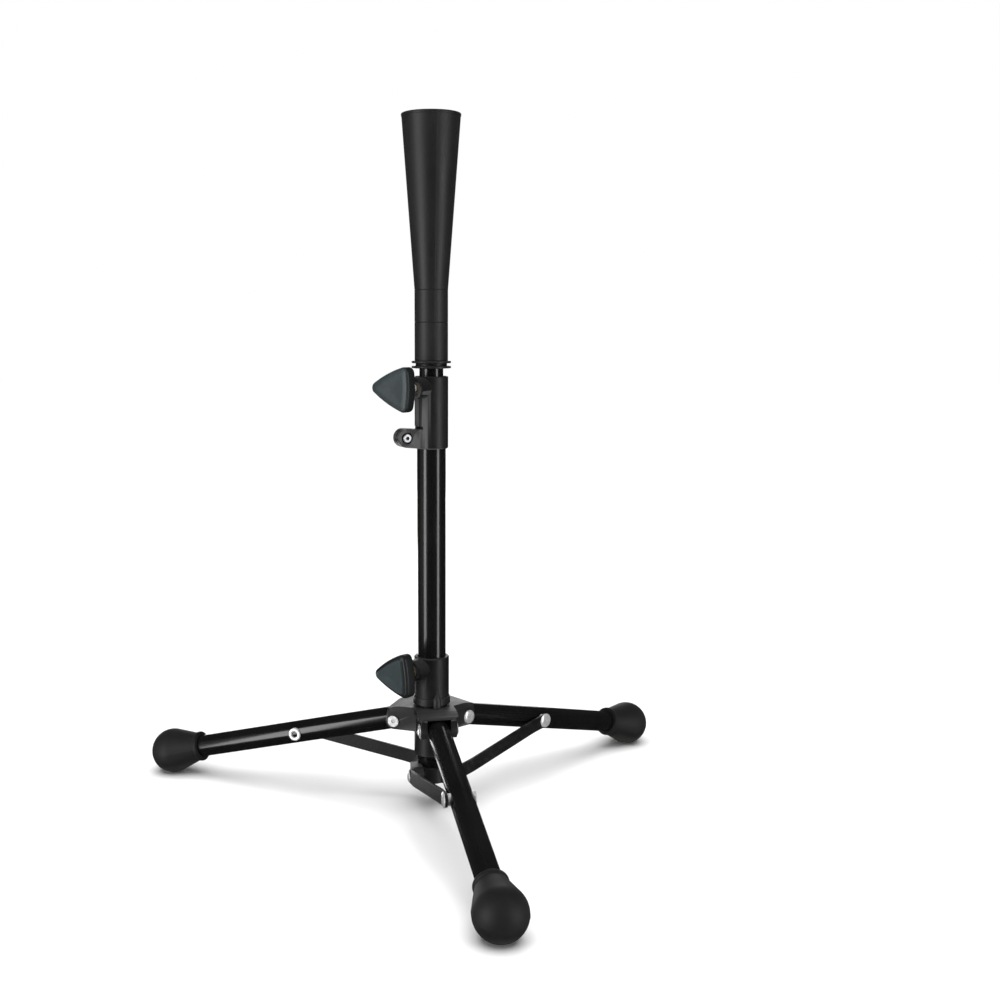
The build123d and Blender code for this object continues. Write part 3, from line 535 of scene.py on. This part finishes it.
def foot_cap(name):
    """Rubber foot: a ball with a flared neck, a rolled lip and a mould seam."""
    place, length, ball_r = leg_place(name)
    bore = leg_tube_r + fit_gap
    bore_end = length - leg_tube_short + fit_gap
    lip_low = length - foot_neck_back
    lip_high = lip_low + foot_lip_length
    lip_r = foot_neck_r + foot_lip_out
    apex = math.hypot(foot_neck_back - foot_lip_length, foot_neck_r)
    neck_angle = math.atan2(foot_neck_r, lip_high - length)
    touch = neck_angle - math.acos(ball_r / apex)
    outline = rounded([
        (0, bore_end, 0),
        (bore, bore_end, 0.5),
        (bore, lip_low, 0.5),
        (lip_r, lip_low, 0.9),
        (lip_r, lip_high, 1.1),
        (foot_neck_r, lip_high + foot_lip_out, 0.8),
        (ball_r * math.sin(touch), length + ball_r * math.cos(touch), 0),
    ], closed=False)
    for step in range(1, foot_ball_steps + 1):
        angle = touch * (1 - step / foot_ball_steps)
        outline.append(Vector((ball_r * math.sin(angle), length + ball_r * math.cos(angle))))

    def seam(radius, height, angle):
        outside = radius > bore + 1 and height > lip_high
        return radius + (foot_flash if outside and abs(math.sin(angle)) < 0.02 else 0.0)

    piece = lathe(f"foot_{name}_lathe", outline, turns=120, shape=seam)
    piece.data.transform(place)
    ground = piece.data.attributes.new("ground", "FLOAT", "POINT")
    for index, vertex in enumerate(piece.data.vertices):
        vertex.co.z = max(0.0, vertex.co.z)
        ground.data[index].value = max(0.0, 1 - vertex.co.z / (foot_dust_rise * unit))
    dress(piece, f"foot_cap_{name}")


upright_tube("outer_tube")
upright_tube("inner_tube")
for leg_name in leg_names:
    leg_tube(leg_name)
    foot_cap(leg_name)


# ---------------------------------------------------------------- topper
def rubber_topper():
    """Rubber tube that flares into the ball's cup, with a rolled mouth and moulded seams."""
    low, high = box_mm("rubber_topper")
    mouth_r = (high.x - low.x) / 2
    socket_r = topper_tube_r - topper_wall + fit_gap
    socket_top = box_mm("inner_tube")[1].z + fit_gap
    cone_low = low.z + topper_tube_length
    cup_floor = cone_low + topper_wall
    seam_z = low.z + topper_seam_rise
    cone_r = mouth_r - topper_band_out
    slope = (cone_r - topper_tube_r) / (high.z - cone_low)
    band_low = high.z - topper_band
    band_r = topper_tube_r + slope * (band_low - cone_low)
    groove = topper_seam_depth
    outline = rounded([
        (0, socket_top, 0),
        (socket_r, socket_top, 0.4),
        (socket_r, low.z, 0.4),
        (topper_tube_r, low.z, 0.5),
        (topper_tube_r, seam_z - groove, 0.25),
        (topper_tube_r - groove, seam_z, 0.2),
        (topper_tube_r, seam_z + groove, 0.25),
        (topper_tube_r, cone_low - groove, 0.25),
        (topper_tube_r - 0.6 * groove, cone_low, 0.2),
        (topper_tube_r + slope * groove, cone_low + groove, 0.25),
        (band_r, band_low, 0.3),
        (band_r + topper_band_out, band_low + 0.3, 0.25),
        (mouth_r, high.z, topper_lip),
        (mouth_r - topper_wall, high.z, topper_lip),
        (topper_tube_r - topper_wall, cup_floor, 3.0),
        (0, cup_floor, 0),
    ], closed=False, steps=6)
    dense = []
    for start, end in zip(outline, outline[1:]):
        parts = max(1, math.ceil((end - start).length / topper_step))
        dense.extend(start.lerp(end, step / parts) for step in range(parts))
    dense.append(outline[-1])

    def seam(radius, height, angle):
        outside = radius > topper_tube_r - 0.1 and height > low.z + 1
        return radius + (topper_flash if outside and abs(math.cos(angle)) < 0.012 else 0.0)

    dress(lathe("topper_lathe", dense, turns=192, shape=seam), "rubber_topper")


def topper_adapter():
    """Two thin discs with a groove between them, under the topper."""
    low, high = box_mm("topper_adapter")
    flange = (high.x - low.x) / 2
    bore = box_mm("inner_tube")[1].x + fit_gap
    spigot = topper_tube_r - topper_wall
    flange_top = box_mm("rubber_topper")[0].z - fit_gap
    outline = rounded([
        (bore, low.z, 0.4),
        (flange, low.z, 0.6),
        (flange, low.z + adapter_disc, 0.6),
        (adapter_groove_r, low.z + adapter_disc, 0.5),
        (adapter_groove_r, flange_top - adapter_disc, 0.5),
        (flange, flange_top - adapter_disc, 0.6),
        (flange, flange_top, 0.6),
        (spigot, flange_top, 0.2),
        (spigot, high.z, 0.3),
        (bore, high.z, 0.2),
    ], steps=4)
    dress(lathe("adapter_lathe", outline, turns=128), "topper_adapter")


rubber_topper()
topper_adapter()


# ---------------------------------------------------------------- clamp knobs
def knob_place(prefix):
    """Frame of a knob: z points outward along its screw, y is up. Its origin is the joint's point."""
    joint = joints[f"{prefix}_knob_turn"]
    ahead = Vector(joint["axis"]).normalized()
    up = Vector((0, 0, 1))
    place = Matrix((up.cross(ahead), up, ahead)).transposed().to_4x4()
    place.translation = Vector(joint["pos_m"])
    return place


def along(node, place):
    """Nearest and farthest point of a CAD node along a frame's z, in millimetres."""
    reach = [(place.inverted() @ vertex.co).z / unit for vertex in frame["nodes"][node].data.vertices]
    return min(reach), max(reach)


def knob_loop(turn, inset):
    """Outline of a knob, a rounded triangle that bulges slightly, moved inward by inset."""
    corners = [
        Vector((knob_corner - knob_apex_reach, 0)),
        Vector((knob_back_reach - knob_corner, knob_corner - knob_height / 2)),
        Vector((knob_back_reach - knob_corner, knob_height / 2 - knob_corner)),
    ]
    sides = []
    for start, end in zip(corners, corners[1:] + corners[:1]):
        chord = end - start
        radius = (chord.length ** 2 / 4 + knob_bulge ** 2) / (2 * knob_bulge)
        centre = (start + end) / 2 + Vector((chord.y, -chord.x)).normalized() * (knob_bulge - radius)
        first, last = start - centre, end - centre
        first_angle = math.atan2(first.y, first.x)
        last_angle = first_angle + (math.atan2(last.y, last.x) - first_angle) % (2 * math.pi)
        sides.append((centre, radius, first_angle, last_angle))
    loop = []

    def sweep(centre, radius, first_angle, last_angle):
        for step in range(knob_arc_steps):
            angle = first_angle + (last_angle - first_angle) * step / knob_arc_steps
            loop.append(centre + Vector((math.cos(angle), math.sin(angle))) * radius)

    for index, (centre, radius, first_angle, last_angle) in enumerate(sides):
        sweep(centre, radius + knob_corner - inset, first_angle, last_angle)
        onward = last_angle + (sides[(index + 1) % 3][2] - last_angle) % (2 * math.pi)
        sweep(corners[(index + 1) % 3], knob_corner - inset, last_angle, onward)
    spin = Matrix.Rotation(math.radians(turn), 2)
    return [spin @ point for point in loop]


def knob_head(prefix, place):
    """Satin head with soft edges, a shallow dished face and a round neck that flares into its back."""
    neck_low, face_high = along(f"{prefix}_knob_head", place)
    back = neck_low + knob_neck_length
    turn = knob_turns[prefix]
    profile = list(knob_back_edge)
    profile.append((0.0, knob_thickness - knob_edge - knob_back_edge[-1][1]))
    for step in range(knob_fillet_steps + 1):
        angle = math.pi / 2 * step / knob_fillet_steps
        profile.append((
            knob_edge * (1 - math.cos(angle)),
            knob_thickness - knob_edge * (1 - math.sin(angle)),
        ))
    work = bmesh.new()
    rings = []
    for inset, height in profile:
        loop = knob_loop(turn, inset)
        rings.append([work.verts.new((p.x, p.y, back + height)) for p in loop])
    face_loop = knob_loop(turn, profile[-1][0])
    for step in range(1, knob_face_steps):
        share = 1 - step / knob_face_steps
        sink = knob_dish * (1 - share ** 2) ** 2
        rings.append([work.verts.new((p.x * share, p.y * share, face_high - sink)) for p in face_loop])
    bridge(work, rings)
    fan(work, rings[-1], work.verts.new((0, 0, face_high - knob_dish)))
    neck = rounded([
        (0, neck_low + 0.2, 0),
        (knob_neck_r, neck_low, 0.8),
        (knob_neck_r, back - 0.6, 1.2),
        (knob_neck_r + knob_neck_flare, back + 0.1, 0.8),
    ], closed=False)
    spokes = [point.normalized() for point in knob_loop(turn, profile[0][0])]
    neck_rings = [rings[0]]
    for out, height in reversed(neck[1:]):
        neck_rings.append([work.verts.new((spoke.x * out, spoke.y * out, height)) for spoke in spokes])
    bridge(work, neck_rings)
    fan(work, neck_rings[-1], work.verts.new((0, 0, neck_low)))
    piece = new_piece(f"{prefix}_knob_loft", work, place)
    # Painted shade: 'side' is 0 on the face and rises to 1 down the sides and over the back, darkening them.
    side = piece.data.attributes.new("side", "FLOAT", "POINT")
    for index, vertex in enumerate(piece.data.vertices):
        depth = face_high - vertex.co.z / unit - knob_shade_start
        side.data[index].value = max(0.0, min(1.0, depth / (0.6 * knob_edge)))
    dress(piece, f"{prefix}_knob_head")


def knob_screw(prefix, place):
    """Screw with a helical thread and a narrowed tip."""
    tip, top = along(f"{prefix}_knob_screw", place)
    heights = max(2, math.ceil((top - tip) / (thread_pitch / thread_steps)))
    outline = [(0, tip)]
    for step in range(heights + 1):
        height = tip + (top - tip) * (step / heights)
        lead_in = min(1.0, (height - tip) / knob_screw_lead_in)
        outline.append((knob_screw_r - knob_screw_tip * (1 - lead_in), height))
    outline.append((0, top))

    def thread(out, height, angle):
        phase = (height / thread_pitch - angle / (2 * math.pi)) % 1.0
        return out - thread_depth * abs(2 * phase - 1)

    screw = lathe(f"{prefix}_screw_lathe", outline, place, turns=48, shape=thread)
    dress(screw, f"{prefix}_knob_screw")


for knob_name in ("upper", "lower"):
    knob_frame = knob_place(knob_name)
    knob_head(knob_name, knob_frame)
    knob_screw(knob_name, knob_frame)


# ---------------------------------------------------------------- rivets and screws
def tubular_rivet(name):
    """Shank through the leg with its end rolled over into a ring, seated on the curve of the tube."""
    place, _, _ = leg_place(name)
    side, across, down = (place.col[index].xyz for index in range(3))
    axis = Matrix((across, down, -side)).transposed().to_4x4()
    axis.translation = place @ Vector((0, 0, strut_rivet_along * unit))
    shank_end, _ = along(f"strut_rivet_{name}", axis)
    crest = leg_tube_r + strut_rivet_tail_out
    floor = crest - strut_rivet_bore_depth
    seat = leg_tube_r - strut_rivet_sink
    outline = rounded([
        (0, shank_end, 0),
        (strut_rivet_shank_r, shank_end, 0.3),
        (strut_rivet_shank_r, seat - 0.6, 0.2),
        (strut_rivet_tail_r, seat, 0.2),
        (strut_rivet_tail_r, crest, 1.2),
        (strut_rivet_bore_r, crest, 1.1),
        (strut_rivet_bore_r - 0.3, floor + 0.3, 0.5),
        (strut_rivet_pip_r, floor, 0.4),
        (strut_rivet_pip_r - 0.3, floor + strut_rivet_pip_rise - 0.1, 0.3),
        (0, floor + strut_rivet_pip_rise, 0),
    ], closed=False, steps=6)
    work = bmesh.new()
    turned(work, outline, turns=72)
    for vertex in work.verts:
        out = vertex.co.xy.length
        if out > strut_rivet_shank_r + 0.01 and vertex.co.z < leg_tube_r + 0.25:
            saddle = math.sqrt((leg_tube_r + fit_gap) ** 2 - vertex.co.x ** 2)
            vertex.co.z = saddle + max(0.0, vertex.co.z - seat) * 0.5
    dress(new_piece(f"strut_rivet_{name}_lathe", work, axis), f"strut_rivet_{name}")


softened_nodes = {
    "upper_clamp_collar": 0.45,
    "hub_lock_collar": 0.45,
    "hub_spider": 1.2,
    "lower_strut_collar": 0.5,
    "ear_clamp_screw": 0.25,
    "leg_pivot_rivets": 0.3,
    "strut_collar_rivets": 0.3,
}
for leg_name in leg_names:
    softened_nodes[f"strut_{leg_name}"] = 0.4
    softened_nodes[f"strut_rivet_head_{leg_name}"] = 0.25
for node, edge in softened_nodes.items():
    dress(softened(node, edge), node)
for leg_name in leg_names:
    tubular_rivet(leg_name)

for name, obj in frame["nodes"].items():
    obj.data.materials.clear()
    obj.data.materials.append(materials[slot_of[name]])


# ---------------------------------------------------------------- studio
def pale_floor():
    """Plain matt floor that blocks no light or reflection, so the post's foot mirrors the whole strips."""
    work = bmesh.new()
    bmesh.ops.create_circle(work, cap_ends=True, segments=96, radius=floor_radius)
    floor = new_piece("floor", work)
    f = Finish("pale_floor", specular=0.2)
    tone = f.noise(3, 3)
    colour = f.ramp(tone, (0.2, 0.84), (0.8, 0.87))
    roughness = f.ramp(tone, (0.2, 0.6), (0.8, 0.7))
    floor.data.materials.append(f.finish(colour, roughness))
    floor.visible_glossy = False
    floor.visible_shadow = False


def soft_box(name, position, aim, width, height, radiance):
    """Rectangular area light whose face has a given brightness."""
    data = bpy.data.lights.new(name, "AREA")
    data.shape = "RECTANGLE"
    data.size = width
    data.size_y = height
    data.energy = radiance * math.pi * width * height
    lamp = bpy.data.objects.new(name, data)
    bpy.context.scene.collection.objects.link(lamp)
    lamp.location = position
    lamp.rotation_euler = (Vector(aim) - Vector(position)).to_track_quat("-Z", "Y").to_euler()
    lamp.visible_camera = False


def overhead_sun(strength, width, tilt):
    """Wide soft light from above, seen only by its effect on dull surfaces."""
    data = bpy.data.lights.new("overhead", "SUN")
    data.energy = strength
    data.angle = math.radians(width)
    lamp = bpy.data.objects.new("overhead", data)
    bpy.context.scene.collection.objects.link(lamp)
    lamp.rotation_euler = (math.radians(tilt), 0, 0)
    lamp.visible_glossy = False


def around(azimuth, distance, height):
    """Point at an azimuth from the front, counted towards +X, seen from the post."""
    turn = math.radians(azimuth)
    return Vector((math.sin(turn) * distance, -math.cos(turn) * distance, height))


camera_azimuth = -10.89
camera_pitch = 7.89
camera_distance = 1.1366
camera_aim_height = 0.2816
camera_aim_side = 0.0076
camera_sensor = 36.0
camera_lens = 46.04
camera_shift = 0.06
world_light = 0.025
floor_radius = 9000       # millimetres


def add_camera():
    """Camera at the photograph's angle, aimed at the post."""
    turn, pitch = math.radians(camera_azimuth), math.radians(camera_pitch)
    back = Vector((math.sin(turn) * math.cos(pitch), -math.cos(turn) * math.cos(pitch), math.sin(pitch)))
    right = Vector((math.cos(turn), math.sin(turn), 0))
    data = bpy.data.cameras.new("camera")
    data.sensor_width = camera_sensor
    data.lens = camera_lens
    data.shift_x = camera_shift
    data.clip_end = 50
    camera = bpy.data.objects.new("camera", data)
    bpy.context.scene.collection.objects.link(camera)
    camera.location = Vector((0, 0, camera_aim_height)) + right * camera_aim_side + back * camera_distance
    camera.rotation_euler = back.to_track_quat("Z", "Y").to_euler()
    bpy.context.scene.camera = camera


def add_world():
    """White to the eye, dim as a light, so that gloss surfaces keep their depth."""
    world = bpy.data.worlds.new("studio")
    bpy.context.scene.world = world
    world.use_nodes = True
    tree = world.node_tree
    background = next(n for n in tree.nodes if n.type == "BACKGROUND")
    path = tree.nodes.new("ShaderNodeLightPath")
    mix = tree.nodes.new("ShaderNodeMix")
    mix.data_type = "FLOAT"
    mix.inputs["A"].default_value = world_light
    mix.inputs["B"].default_value = 1.0
    tree.links.new(path.outputs["Is Camera Ray"], mix.inputs["Factor"])
    tree.links.new(mix.outputs["Result"], background.inputs["Strength"])
    background.inputs["Color"].default_value = (1.0, 1.0, 1.0, 1.0)


pale_floor()
add_camera()
add_world()
overhead_sun(4.15, 70, 8)
soft_box("left_strip", around(camera_azimuth - 52.5, 1.9, 0.25), (0, 0, 0.25), 0.62, 1.7, 4.8)
soft_box("right_strip", around(camera_azimuth + 56.0, 1.9, 0.25), (0, 0, 0.25), 0.5, 1.7, 4.2)
soft_box("left_fill", around(camera_azimuth - 84, 1.9, 0.35), (0, 0, 0.25), 1.3, 1.3, 0.18)
soft_box("front_fill", around(camera_azimuth - 8, 2.4, 1.9), (0, 0, 0.2), 1.2, 0.8, 1.2)
soft_box("back_strip", around(camera_azimuth + 178, 2.1, 0.75), (0, 0, 0.3), 0.8, 1.3, 2.2)
soft_box("low_card", around(-169, 0.9, -0.08), (0, 0, 0.05), 0.5, 0.35, 2.6)
bpy.context.scene.view_settings.view_transform = "Standard"
